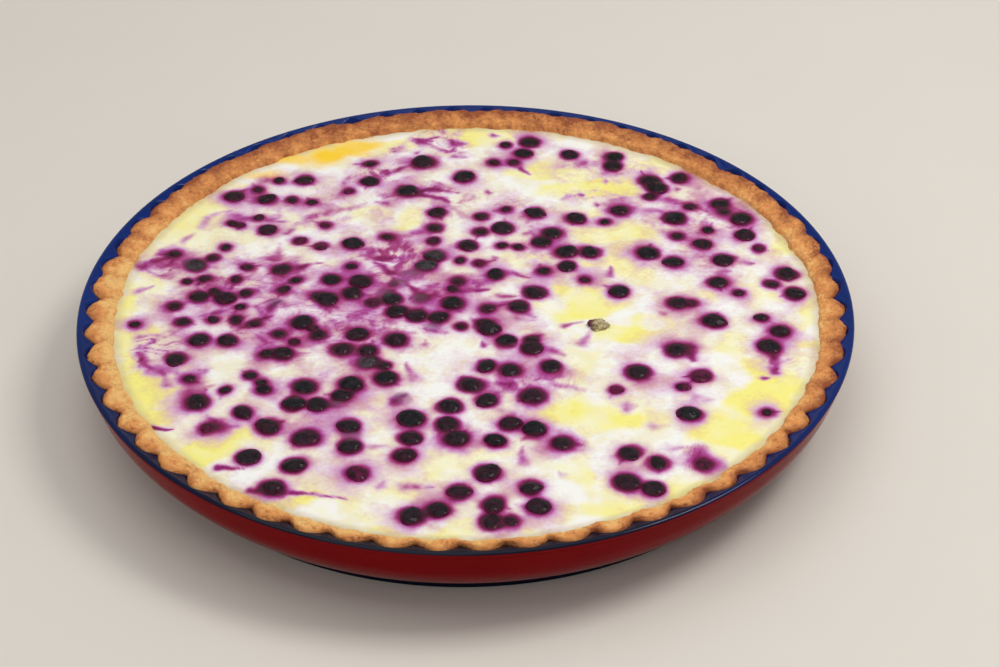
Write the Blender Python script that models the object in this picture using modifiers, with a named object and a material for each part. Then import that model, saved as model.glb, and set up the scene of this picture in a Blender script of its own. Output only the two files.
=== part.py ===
"""Blueberry custard tart in its own fluted, glazed dish: metres, +Z up.

The origin is on the table, on the dish's axis. The front of the tart faces -Y.
"""
import math
import random

import bmesh
import bpy
from mathutils import Vector, noise

MM = 0.001
SEED = 7

# Flutes of the dish, which the pastry's teeth fill
FLUTES = 60
COLUMNS_PER_FLUTE = 3
FLUTED_COLUMNS = FLUTES * COLUMNS_PER_FLUTE
FLUTE_PHASE = math.radians(1.8)
FLUTE_ROUNDNESS = 1.8

# Dish. The lip's curve is a list of steps in and down from the rim's outer top corner.
RIM_RADIUS = 140 * MM
LIP_CURVE = ((1.2 * MM, 0), (0.3 * MM, 0.3 * MM), (0, 1 * MM), (0.6 * MM, 1.9 * MM))
DISH_HEIGHT = 32 * MM
FOOT_RADIUS = 121 * MM
FOOT_HEIGHT = 2.3 * MM
FOOT_WIDTH = 7 * MM
FOOT_RECESS = 1.2 * MM
FOOT_EDGE = 0.7 * MM
FOOT_NECK = 1.4 * MM
FLOOR_TOP = 5 * MM
GROOVE_RADIUS = 138.3 * MM
GROOVE_WAIST_RADIUS = 132.2 * MM
GROOVE_WAIST_HEIGHT = 18 * MM
FLOOR_RADIUS = 117.4 * MM
RIDGE_DEPTH_TOP = 4.2 * MM
RIDGE_DEPTH_FLOOR = 2 * MM
WALL_SHOULDER = (136.7 * MM, 20 * MM)
WALL_BELLY = (130.2 * MM, 11 * MM)
DISH_COLUMNS = 68
CUTTER_HEADROOM = 2 * MM

# Pastry case
FIT_GAP = 0.45 * MM
CRUST_FLOOR_TOP = 9.4 * MM
CRUST_FLOOR_RADIUS = 116 * MM
CRUST_TOP = 30.9 * MM
CRUST_TILT = 0.5 * MM
CRUST_EDGE_DROP = 1.3 * MM
CRUST_ROUGHNESS = 0.3 * MM
TOOTH_ROUNDING = 1 * MM
VALLEY_ROUNDING = 0.6 * MM
INNER_ROLL = 0.6 * MM
INNER_DROP = 0.7 * MM
VALLEY_SAG = 0.35 * MM
INNER_EDGE_RADIUS = 127.2 * MM
FRONT_THINNING = 4 * MM
SIDE_OFFSET = 0.5 * MM
EDGE_WANDER = 0.45 * MM
KNEE_HEIGHT = 26 * MM
KNEE_INSET = 1.2 * MM

# Custard, which stands higher at the front than at the back
CUSTARD_LEVEL = 28.9 * MM
CUSTARD_TILT = 1.3 * MM
CUSTARD_RIPPLE = 0.15 * MM
CUSTARD_COLUMNS = 54
CUSTARD_RINGS = (0.95, 0.62, 0.3)

# Berries. The widest that keep clear of each other are loose pieces, the others are fused to the custard.
LOOSE_BERRIES = 54
BERRY_SEGMENTS = 7
FUSED_SEGMENTS = 6
BERRY_RINGS = 4
BERRY_GAP = 0.5 * MM
SOCKET_GAP = 0.42 * MM
LOOSE_RISE = 2.1 * MM
FUSED_RISE = 1.6 * MM
BERRY_SPREAD = 1.1
BERRY_FLATNESS = 0.78
BERRY_SQUASH = 0.9
BERRY_TILT = 0.25

# Width of a berry: the centres of such berries, x to the right and y to the back, all in millimetres
BERRY_SPOTS = {
    11: (
        (22, -58), (107, -31), (-17, 100), (89, -15), (-54, -79), (-19, -70),
    ),
    10: (
        (-92, -59), (-67, -73), (-72, -89), (-57, -94), (-59, -60), (-40, -50), (-6, -63), (7, -60), (6, -99),
        (-18, -120), (59, -45), (75, -69), (51, -105), (47, 32), (97, 25), (120, 15), (-43, 39), (-5, -1),
        (25, 5), (0, 88), (-23, 78), (76, 78), (81, 55), (108, 54), (14, 49), (-36, -98), (-28, -46),
    ),
    9: (
        (-64, -106), (-56, -51), (-51, -61), (1, -51), (-7, -73), (-4, -81), (-21, -89), (-40, -73),
        (-39, -84), (9, -82), (22, -76), (22, -116), (-88, 4), (-95, -22), (-59, -12), (-51, 2), (-39, -20),
        (-39, 14), (-25, -6), (-18, -9), (8, -18), (14, -25), (23, -30), (-25, -24), (38, 32), (69, 30),
        (56, 5), (121, 2), (74, 83), (100, 65), (27, 60), (27, 115),
    ),
    8: (
        (-76, -65), (-43, -56), (-19, -80), (14, -73), (31, -84), (-3, -108), (-10, -117), (8, -115),
        (7, -123), (20, -107), (7, -40), (15, -43), (29, -41), (81, -48), (53, -90), (62, -95), (59, -108),
        (-98, 5), (-85, -23), (-102, -34), (-65, -31), (-50, 15), (-101, 26), (-42, 6), (1, 37), (29, 39),
        (-12, 30), (-15, 24), (11, 17), (38, 22), (-27, 2), (-10, -10), (19, -4), (7, -15), (-35, -30),
        (-44, -29), (-34, -37), (78, 24), (90, 36), (93, 10), (77, -3), (112, -22), (74, -32), (-91, 75),
        (-78, 73), (-76, 50), (-64, 87), (-38, 85), (-11, 61), (33, 45), (24, 106), (43, 104), (61, 102),
        (60, 95), (86, 85), (60, 61), (107, 42), (43, 56),
    ),
}


def clear_scene():
    for obj in list(bpy.data.objects):
        bpy.data.objects.remove(obj, do_unlink=True)


def new_collection(name):
    collection = bpy.data.collections.new(name)
    bpy.context.scene.collection.children.link(collection)
    return collection


def new_material(name, colour, roughness, coat=0.0):
    material = bpy.data.materials.new(name)
    material.use_nodes = True
    shader = material.node_tree.nodes["Principled BSDF"]
    shader.inputs["Base Color"].default_value = (*colour, 1)
    shader.inputs["Roughness"].default_value = roughness
    shader.inputs["Metallic"].default_value = 0
    shader.inputs["Coat Weight"].default_value = coat
    return material


def new_object(name, mesh, collection, material=None):
    obj = bpy.data.objects.new(name, mesh)
    if material:
        mesh.materials.append(material)
    collection.objects.link(obj)
    return obj


def make_cutter(obj):
    obj.hide_render = True
    obj.display_type = "WIRE"


def shade(mesh, angle):
    mesh.shade_smooth()
    mesh.set_sharp_from_angle(angle=angle)


def mix(start, end, share):
    return start + (end - start) * share


def turned(name, profile, steps, collection, material=None):
    """A solid of revolution. The profile runs from the axis outwards and down, back to the axis."""
    mesh = bpy.data.meshes.new(name)
    points = [(radius, 0, height) for radius, height in profile]
    mesh.from_pydata(points, [(i, i + 1) for i in range(len(points) - 1)], [])
    obj = new_object(name, mesh, collection, material)
    screw = obj.modifiers.new("Turn", "SCREW")
    screw.steps = screw.render_steps = steps
    screw.use_merge_vertices = True
    screw.merge_threshold = 0.01 * MM
    screw.use_smooth_shade = False
    return obj


def lofted(name, section, steps, start, collection, material=None):
    """A closed solid whose section changes with angle. It runs from the axis outwards, down and back."""
    mesh = bpy.data.meshes.new(name)
    shape = bmesh.new()
    angles = [start + 2 * math.pi * i / steps for i in range(steps)]
    sections = [section(angle) for angle in angles]
    top = shape.verts.new((0, 0, sections[0][0][1]))
    bottom = shape.verts.new((0, 0, sections[0][-1][1]))
    rings = []
    for angle, points in zip(angles, sections):
        across = Vector((math.cos(angle), math.sin(angle), 0))
        rings.append([shape.verts.new(r * across + Vector((0, 0, z))) for r, z in points[1:-1]])
    for here, there in zip(rings, rings[1:] + rings[:1]):
        shape.faces.new((top, here[0], there[0]))
        shape.faces.new((bottom, there[-1], here[-1]))
        for i in range(len(here) - 1):
            shape.faces.new((here[i], here[i + 1], there[i + 1], there[i]))
    bmesh.ops.triangulate(shape, faces=shape.faces)
    shape.to_mesh(mesh)
    shape.free()
    return new_object(name, mesh, collection, material)


def scallop(angle):
    """0 at the middle of a groove, 1 on a ridge between two grooves."""
    pitch = 2 * math.pi / FLUTES
    from_groove = (angle - FLUTE_PHASE + pitch / 2) % pitch - pitch / 2
    return abs(2 * from_groove / pitch) ** FLUTE_ROUNDNESS


def frontness(angle):
    """1 at the front, 0 at the sides, -1 at the back."""
    return -math.sin(angle)


def wander(angle, cycles, seed):
    """A smooth closed wave round the dish, between about -1 and 1."""
    return noise.noise(Vector((cycles * math.cos(angle), cycles * math.sin(angle), seed)))


def groove_radius(height):
    if height < GROOVE_WAIST_HEIGHT:
        share = (height - FLOOR_TOP) / (GROOVE_WAIST_HEIGHT - FLOOR_TOP)
        return mix(FLOOR_RADIUS, GROOVE_WAIST_RADIUS, share)
    share = (height - GROOVE_WAIST_HEIGHT) / (DISH_HEIGHT - GROOVE_WAIST_HEIGHT)
    return mix(GROOVE_WAIST_RADIUS, GROOVE_RADIUS, share)


def ridge_depth(height):
    return mix(RIDGE_DEPTH_FLOOR, RIDGE_DEPTH_TOP, (height - FLOOR_TOP) / (DISH_HEIGHT - FLOOR_TOP))


def fluted_radius(angle, height):
    return groove_radius(height) - ridge_depth(height) * scallop(angle)


def hollow_section(angle):
    above = DISH_HEIGHT + CUTTER_HEADROOM
    heights = (above, GROOVE_WAIST_HEIGHT, FLOOR_TOP)
    return [(0, above)] + [(fluted_radius(angle, height), height) for height in heights] + [(0, FLOOR_TOP)]


def make_dish(collection, cutters):
    lip = [(RIM_RADIUS - inset, DISH_HEIGHT - drop) for inset, drop in LIP_CURVE]
    foot = [
        (FOOT_RADIUS - FOOT_NECK, FOOT_HEIGHT + FOOT_EDGE / 2),
        (FOOT_RADIUS, FOOT_HEIGHT - FOOT_EDGE / 2),
        (FOOT_RADIUS, FOOT_EDGE),
        (FOOT_RADIUS - FOOT_EDGE, 0),
        (FOOT_RADIUS - FOOT_WIDTH, 0),
        (FOOT_RADIUS - FOOT_WIDTH - FOOT_RECESS, FOOT_RECESS),
    ]
    profile = [(0, DISH_HEIGHT), *lip, WALL_SHOULDER, WALL_BELLY, *foot, (0, FOOT_RECESS)]
    glaze = new_material("glazed_stoneware", (0.02, 0.045, 0.16), 0.12, coat=1.0)
    dish = turned("dish", profile, DISH_COLUMNS, collection, glaze)
    hollow = lofted("dish_hollow", hollow_section, FLUTED_COLUMNS, fluted_start(), cutters)
    make_cutter(hollow)
    cut = dish.modifiers.new("Hollow", "BOOLEAN")
    cut.operation = "DIFFERENCE"
    cut.object = hollow
    return dish


def fluted_start():
    """The angle of the first column, so that every ridge has a column on its crest."""
    pitch = 2 * math.pi / FLUTES
    return FLUTE_PHASE - pitch / 2


def crust_top(angle):
    return CRUST_TOP + CRUST_TILT * frontness(angle)


def inner_edge(angle):
    thinning = FRONT_THINNING * max(0, frontness(angle)) ** 2
    side = SIDE_OFFSET * math.cos(angle)
    return INNER_EDGE_RADIUS + thinning + side + EDGE_WANDER * wander(angle, 3, 1.5)


def knee_radius(angle):
    return inner_edge(angle) - KNEE_INSET


def crag(angle, cycles, seed):
    """A bump of the torn pastry edge."""
    return CRUST_ROUGHNESS * wander(angle, cycles, seed)


def crust_section(angle):
    valley = scallop(angle)
    top = crust_top(angle)
    edge_height = top - CRUST_EDGE_DROP
    edge = fluted_radius(angle, edge_height) - FIT_GAP
    rounding = mix(TOOTH_ROUNDING, VALLEY_ROUNDING, valley)
    inner = inner_edge(angle) + INNER_ROLL
    outer_floor = FLOOR_TOP + FIT_GAP
    return [
        (0, CRUST_FLOOR_TOP),
        (CRUST_FLOOR_RADIUS, CRUST_FLOOR_TOP),
        (knee_radius(angle), KNEE_HEIGHT),
        (inner, top - INNER_DROP + crag(angle, 14, 3.5)),
        (mix(inner, edge, 0.5), top - VALLEY_SAG * valley + crag(angle, 17, 5.5)),
        (edge - rounding + crag(angle, 21, 7.5), top - rounding / 2 + crag(angle, 19, 9.5)),
        (edge, edge_height),
        (fluted_radius(angle, GROOVE_WAIST_HEIGHT) - FIT_GAP, GROOVE_WAIST_HEIGHT + FIT_GAP / 2),
        (fluted_radius(angle, FLOOR_TOP) - 2 * FIT_GAP, outer_floor),
        (0, outer_floor),
    ]


def make_crust(collection):
    pastry = new_material("baked_pastry", (0.62, 0.33, 0.12), 0.75)
    return lofted("crust", crust_section, FLUTED_COLUMNS, fluted_start(), collection, pastry)


def custard_level(x, y):
    ripple = CUSTARD_RIPPLE * noise.noise(Vector((25 * x, 25 * y, 0.5)))
    return CUSTARD_LEVEL - CUSTARD_TILT * y / INNER_EDGE_RADIUS + ripple


def custard_edge(angle):
    """Where the custard's surface meets the pastry wall, with the fitting gap."""
    level = CUSTARD_LEVEL + CUSTARD_TILT * frontness(angle)
    rim_height = crust_top(angle) - INNER_DROP
    share = (level - KNEE_HEIGHT) / (rim_height - KNEE_HEIGHT)
    return mix(knee_radius(angle), inner_edge(angle) + INNER_ROLL, share) - FIT_GAP - CRUST_ROUGHNESS / 2


def custard_section(angle):
    edge = custard_edge(angle)
    bottom = CRUST_FLOOR_TOP + FIT_GAP
    points = [(0, custard_level(0, 0))]
    for share in reversed(CUSTARD_RINGS):
        radius = edge * share
        points.append((radius, custard_level(radius * math.cos(angle), radius * math.sin(angle))))
    points.append((edge, custard_level(edge * math.cos(angle), edge * math.sin(angle))))
    points.append((knee_radius(angle) - FIT_GAP, KNEE_HEIGHT + FIT_GAP / 2))
    points.append((CRUST_FLOOR_RADIUS - 1.5 * FIT_GAP, bottom))
    points.append((0, bottom))
    return points


def berry_mesh(name, half_size, segments):
    """An ellipsoid round the origin."""
    mesh = bpy.data.meshes.new(name)
    shape = bmesh.new()
    bmesh.ops.create_uvsphere(shape, u_segments=segments, v_segments=BERRY_RINGS, radius=1)
    bmesh.ops.scale(shape, vec=half_size, verts=shape.verts)
    shape.to_mesh(mesh)
    shape.free()
    return mesh


def berry_half_size(width, rng):
    """Half the size of a berry along its own axes: a little flat, and squashed to one side."""
    squash = rng.uniform(BERRY_SQUASH, 1)
    return Vector((width / 2, width / 2 * squash, width / 2 * BERRY_FLATNESS))


def berry_centre(x, y, width, rise):
    """The centre of a berry that stands a given height above the custard, kept clear of the pastry wall."""
    radius = math.hypot(x, y)
    limit = knee_radius(math.atan2(y, x)) - 2.2 * FIT_GAP - width / 2
    if radius > limit:
        x *= limit / radius
        y *= limit / radius
    return Vector((x, y, custard_level(x, y) + rise - width / 2 * BERRY_FLATNESS))


def sort_berries():
    """Splits the berries into loose ones, widest first, and those fused to the custard."""
    spots = [
        (x * MM, y * MM, width * BERRY_SPREAD * MM) for width, group in BERRY_SPOTS.items() for x, y in group
    ]
    loose = []
    fused = []
    for x, y, width in spots:
        centre = berry_centre(x, y, width, LOOSE_RISE)
        clear = all(
            (centre - other).xy.length > (width + other_width) / 2 + BERRY_GAP for other, other_width in loose
        )
        if clear and len(loose) < LOOSE_BERRIES:
            loose.append((centre, width))
        else:
            fused.append((berry_centre(x, y, width, FUSED_RISE), width))
    return loose, fused


def berry_turn(rng):
    """A slight lean to any side, and any turn about the upright axis."""
    lean_x = rng.uniform(-BERRY_TILT, BERRY_TILT)
    lean_y = rng.uniform(-BERRY_TILT, BERRY_TILT)
    return (lean_x, lean_y, rng.uniform(0, math.pi))


def place_berry(name, centre, turn, half_size, segments, collection, material=None):
    obj = new_object(name, berry_mesh(name, half_size, segments), collection, material)
    obj.location = centre
    obj.rotation_euler = turn
    return obj


def make_berries(spots, collection, cutters, rng):
    skin = new_material("blueberry_skin", (0.012, 0.008, 0.03), 0.35, coat=0.3)
    for number, (centre, width) in enumerate(spots, start=1):
        name = f"berry_{number:02d}"
        half_size = berry_half_size(width, rng)
        turn = berry_turn(rng)
        berry = place_berry(name, centre, turn, half_size, BERRY_SEGMENTS, collection, skin)
        shade(berry.data, math.radians(60))
        grown = half_size + Vector((SOCKET_GAP, SOCKET_GAP, SOCKET_GAP))
        make_cutter(place_berry(name + "_socket", centre, turn, grown, BERRY_SEGMENTS, cutters))


def apply_modifiers(obj):
    """Replaces the object's mesh by its evaluated one."""
    depsgraph = bpy.context.evaluated_depsgraph_get()
    mesh = bpy.data.meshes.new_from_object(obj.evaluated_get(depsgraph))
    obj.modifiers.clear()
    obj.data = mesh


def make_filling(spots, collection, cutters, rng):
    custard = new_material("baked_custard", (0.86, 0.82, 0.72), 0.35)
    filling = lofted("filling", custard_section, CUSTARD_COLUMNS, 0, collection, custard)
    toppings = new_collection("sunken_berries")
    for number, (centre, width) in enumerate(spots):
        half_size = berry_half_size(width, rng)
        place_berry(f"sunken_{number:03d}", centre, berry_turn(rng), half_size, FUSED_SEGMENTS, toppings)
    fuse = filling.modifiers.new("Fuse", "BOOLEAN")
    fuse.operation = "UNION"
    fuse.operand_type = "COLLECTION"
    fuse.collection = toppings
    apply_modifiers(filling)
    for obj in list(toppings.objects):
        bpy.data.objects.remove(obj, do_unlink=True)
    bpy.data.collections.remove(toppings)
    carve = filling.modifiers.new("Sockets", "BOOLEAN")
    carve.operation = "DIFFERENCE"
    carve.operand_type = "COLLECTION"
    carve.collection = cutters
    return filling


def main():
    clear_scene()
    tart = new_collection("blueberry_tart")
    dish_cutters = new_collection("dish_cutters")
    sockets = new_collection("berry_sockets")
    rng = random.Random(SEED)
    loose, fused = sort_berries()
    make_dish(tart, dish_cutters)
    make_crust(tart)
    make_berries(loose, tart, sockets, rng)
    make_filling(fused, tart, sockets, rng)


if __name__ == "__main__":
    main()
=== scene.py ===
"""Looks of a blueberry custard tart in its fluted dish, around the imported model.

Positions here are in millimetres, in the model's own frame, and meshes are scaled to metres when they are
made. x runs to the right, y to the back, and an angle of -90 degrees points to the front of the tart.
"""
import math
import random

import bpy
import numpy as np
from bpy.props import FloatProperty, FloatVectorProperty, PointerProperty
from mathutils import Matrix, Vector, noise


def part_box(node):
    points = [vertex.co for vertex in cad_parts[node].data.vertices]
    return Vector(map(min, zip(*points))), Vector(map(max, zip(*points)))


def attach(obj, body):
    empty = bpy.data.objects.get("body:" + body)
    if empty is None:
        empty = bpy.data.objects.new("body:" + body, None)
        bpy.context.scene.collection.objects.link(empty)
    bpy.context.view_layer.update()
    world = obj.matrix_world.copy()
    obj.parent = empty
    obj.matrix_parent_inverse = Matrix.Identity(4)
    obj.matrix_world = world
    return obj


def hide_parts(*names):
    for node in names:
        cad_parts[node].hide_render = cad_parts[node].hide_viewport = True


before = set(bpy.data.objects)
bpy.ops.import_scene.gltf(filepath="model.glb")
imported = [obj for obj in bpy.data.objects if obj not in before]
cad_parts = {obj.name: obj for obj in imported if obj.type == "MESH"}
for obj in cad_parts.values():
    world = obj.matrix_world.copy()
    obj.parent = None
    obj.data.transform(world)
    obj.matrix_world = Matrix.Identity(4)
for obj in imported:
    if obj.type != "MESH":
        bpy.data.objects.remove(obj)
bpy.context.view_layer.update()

bl_info = {
    "name": "Blueberry tart in its dish",
    "version": (1, 0, 0),
    "blender": (4, 5, 0),
    "location": "3D View > Sidebar > Tart",
    "description": "Builds the glazed dish, the pastry, the custard and the berries around the packed model",
    "category": "Object",
}

METRES = 0.001

# Flutes of the dish, which the pastry's teeth fill
FLUTES = 60
FLUTE_PHASE = math.radians(1.8)
FLUTE_ROUNDNESS = 1.8
RIDGE_SOFTNESS = 0.09
RIDGE_DEPTH_TOP = 4.2
RIDGE_DEPTH_FLOOR = 2
GROOVE_RADIUS = 138.3
GROOVE_WAIST_RADIUS = 132.2
GROOVE_WAIST_HEIGHT = 18
FLOOR_RADIUS = 117.4
DISH_FLOOR = 5

# Dish
RIM_HEIGHT = 32
UNDERSIDE_HEIGHT = 1.2
FOOT_INSIDE_RADIUS = 112.8
LIP_FLAT_RADIUS = 138.8
GROOVE_CORNER = 0.42
RIDGE_CORNER = 2.3
RIDGE_SLUMP = 1.5
INSIDE_HEIGHTS = (29.4, 28.2, 27, 25, 22.5, 20, 18, 15, 12, 9, 6.5)
WALL_STEPS = 5
LIP_STEPS = 4
CORNER_STEPS = 5
FOOT_BAND_TOP = 2.5

# How far back painted shade keeps the inside's glaze navy, and from where on it is its own blue
SHADED_NAVY_UP_TO = -115
UNSHADED_BLUE_FROM = 35

DISH_COLUMNS_PER_FLUTE = 12
WALL_CURVE = ((119.6, 2.7), (124.4, 5.8), (130.2, 11), (136.7, 20), (139.1, 28.4), (139.4, 30.1))
LIP_CURVE = (
    (139.4, 30.1), (139.8, 30.6), (140, 31), (139.95, 31.4), (139.7, 31.7), (139.3, 31.9), (138.8, 32),
)
FOOT_CURVE = (
    (119.6, 2.7), (120.3, 2.45), (121, 1.9), (121.1, 1.2), (121, 0.6), (120.7, 0.2), (120.2, 0), (114, 0),
)

# How many points of the lip's curve, from below, are still red
RED_LIP_POINTS = 4

# Pastry
PASTRY_COLUMNS_PER_FLUTE = 24
PASTRY_TOP = 30.9
PASTRY_TILT = 0.5
PASTRY_EDGE_DROP = 1.3
PASTRY_GAP = 0.3
INNER_EDGE = 127.2
FRONT_THINNING = 4
SIDE_OFFSET = 0.5
EDGE_WANDER = 0.45
INNER_ROLL = 0.6
INNER_DROP = 0.7
KNEE_HEIGHT = 26
KNEE_INSET = 1.2
PASTRY_FLOOR = 9.4
PASTRY_FLOOR_RADIUS = 116
PASTRY_INNER_ROWS = 5
PASTRY_TOP_ROWS = 24
FIRST_TOP_ROW = PASTRY_INNER_ROWS + 2
LAST_TOP_ROW = FIRST_TOP_ROW + PASTRY_TOP_ROWS
PASTRY_SPILL = 3.2
PASTRY_SHORTFALL = 1.0
PASTRY_SIDE_HEIGHTS = (28.4, 27, 25, 22, GROOVE_WAIST_HEIGHT, 12, 7)
FULLEST_ANGLE = math.radians(92)
FRONT_REACH = 0.6
GRAIN_SIZE = 1.5
FINE_GRAIN_SIZE = 0.8
MEAN_GRAIN = 0.6
CRACK_DEPTH = 0.35
CRACK_SPACING = 4.5
CRACK_WIDTH = 0.07
LUMP_HEIGHT = 0.3
LUMP_SIZE = 5

# How much more or less baked than average the pastry is, at each angle in degrees
BAKED_AT = (
    (0, 0.2), (20, 0.25), (40, 0.3), (60, 0.4), (80, 0.46), (100, 0.5), (120, 0.5), (140, 0.48),
    (160, 0.13), (180, -0.18), (200, -0.12), (220, -0.1), (240, -0.13), (260, -0.14), (280, -0.1),
    (300, 0.15), (320, 0.18), (340, 0.26),
)

# Custard
CUSTARD_LEVEL = 28.9
CUSTARD_TILT = 1.3
CUSTARD_BOTTOM = 9.85
CUSTARD_CELLS = 308
CUSTARD_INTO_PASTRY = 1.2
CUSTARD_WALL_GAP = 0.3
CUSTARD_BASE_GAP = 0.7
EDGE_STEPS = 1440
BERRY_DIP = 0.9
RIM_WIDTH = 3.4
RIM_RISE = 0.45
STAIN_OVERLAP = 2.6
DEEPEST_STAIN = 0.95
TAIL_CHANCE = 0.55

# Berries
SEED = 11
BERRY_COLUMNS = 26
BERRY_ROWS = 13
BERRY_FLATNESS = 0.78
BERRY_SPREAD = 1.1
SUNKEN_RISE = 1.6
LOOSE_GIRTH = 0.97
SUNKEN_GIRTH = 1.0
SMALL_GIRTH = 0.92
SMALL_RISE = 1.0

CROWN_CHANCE = 0.4

# Half width over which a berry's skin is dark, and how much less makes it fully red
DARK_HALF = 4.6
RED_RANGE = 2.2

# How steeply up the skin faces where it stops being wet, from the custard's level on
WET_FROM = 0.02
WET_TO = 0.27

# Two spots closer than this are the same berry
SAME_BERRY = 2.5

# Width of a berry's dome: the centres of such berries
BERRY_SPOTS = {
    11: (
        (22, -58), (107, -31), (-17, 100), (89, -15), (-54, -79), (-19, -70),
    ),
    10: (
        (-92, -59), (-67, -73), (-72, -89), (-57, -94), (-59, -60), (-40, -50), (-6, -63), (7, -60), (6, -99),
        (-18, -120), (59, -45), (75, -69), (51, -105), (47, 32), (97, 25), (120, 15), (-43, 39), (-5, -1),
        (25, 5), (0, 88), (-23, 78), (76, 78), (81, 55), (108, 54), (14, 49), (-36, -98), (-28, -46),
    ),
    9: (
        (-64, -106), (-56, -51), (-51, -61), (1, -51), (-7, -73), (-4, -81), (-21, -89), (-40, -73),
        (-39, -84), (9, -82), (22, -76), (22, -116), (-88, 4), (-95, -22), (-59, -12), (-51, 2), (-39, -20),
        (-39, 14), (-25, -6), (-18, -9), (8, -18), (14, -25), (23, -30), (-25, -24), (38, 32), (69, 30),
        (56, 5), (121, 2), (74, 83), (100, 65), (27, 60), (27, 115),
    ),
    8: (
        (-76, -65), (-43, -56), (-19, -80), (14, -73), (31, -84), (-3, -108), (-10, -117), (8, -115),
        (7, -123), (20, -107), (7, -40), (15, -43), (29, -41), (81, -48), (53, -90), (62, -95), (59, -108),
        (-98, 5), (-85, -23), (-102, -34), (-65, -31), (-50, 15), (-101, 26), (-42, 6), (1, 37), (29, 39),
        (-12, 30), (-15, 24), (11, 17), (38, 22), (-27, 2), (-10, -10), (19, -4), (7, -15), (-35, -30),
        (-44, -29), (-34, -37), (78, 24), (90, 36), (93, 10), (77, -3), (112, -22), (74, -32), (-91, 75),
        (-78, 73), (-76, 50), (-64, 87), (-38, 85), (-11, 61), (33, 45), (24, 106), (43, 104), (61, 102),
        (60, 95), (86, 85), (60, 61), (107, 42), (43, 56),
    ),
}
SMALL_SPOTS = {
    7: (
        (-87, -73), (-70, -52), (-75, -44), (13, -123), (51, -55), (74, -54), (77, -96), (-85, 16), (-92, 8),
        (-81, 7), (-106, -1), (-102, -11), (-67, -19), (-70, -31), (-53, -20), (-54, 4), (-63, 42), (-70, 22),
        (-68, 23), (-43, 24), (-12, 41), (-34, 0), (-3, 13), (8, -5), (23, -25), (-29, -39), (81, 42),
        (113, 8), (106, -13), (-38, 99), (-12, 50), (6, 58), (6, 47), (17, 113), (12, 99), (73, 71), (29, 19),
    ),
    6: (
        (-96, -45), (-110, 34), (-91, 38), (-95, 31), (-82, 24), (-91, -10), (-83, -10), (-61, -24), (-67, 9),
        (-55, 38), (-2, -16), (5, 25), (111, 33), (-82, 80), (-68, 72), (-60, 70), (-74, 87), (-54, 53),
        (20, 99), (88, 63), (93, 46),
    ),
    5: (
        (-83, -52), (-71, -48), (101, -69), (-97, 17), (-103, 15), (-82, -2), (-76, -13), (-119, -12),
        (-55, -16), (-63, 15), (-2, 27), (-5, 8), (14, 37), (20, 36), (100, 3), (82, -3), (44, 13), (-46, 78),
        (-80, 59), (-90, 55), (-87, 54), (101, 59), (54, 53), (16, 63), (-30, 44),
    ),
}

# Berries whose skin shows magenta through the custard, and berries wholly under a grey film of it
MAGENTA_SPOTS = (
    (-37, -97), (81, -48), (75, -54), (77, -95), (-54, 53), (-46, 79), (-82, 24), (112, 33), (-64, 41),
    (-55, 37), (-35, -1), (-2, -16), (5, 25), (51, -55), (-87, -73),
)
VEILED_SPOTS = (
    (-22, -58, 7), (-39, -78, 7), (-35, -37, 7), (-11, 32, 7), (-15, 25, 7), (-25, 12, 7), (-17, 2, 7),
    (-102, 27, 8), (-69, 0, 6), (-12, -16, 6), (-44, -61, 5), (-30, 5, 6), (-20, 18, 7),
)

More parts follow.
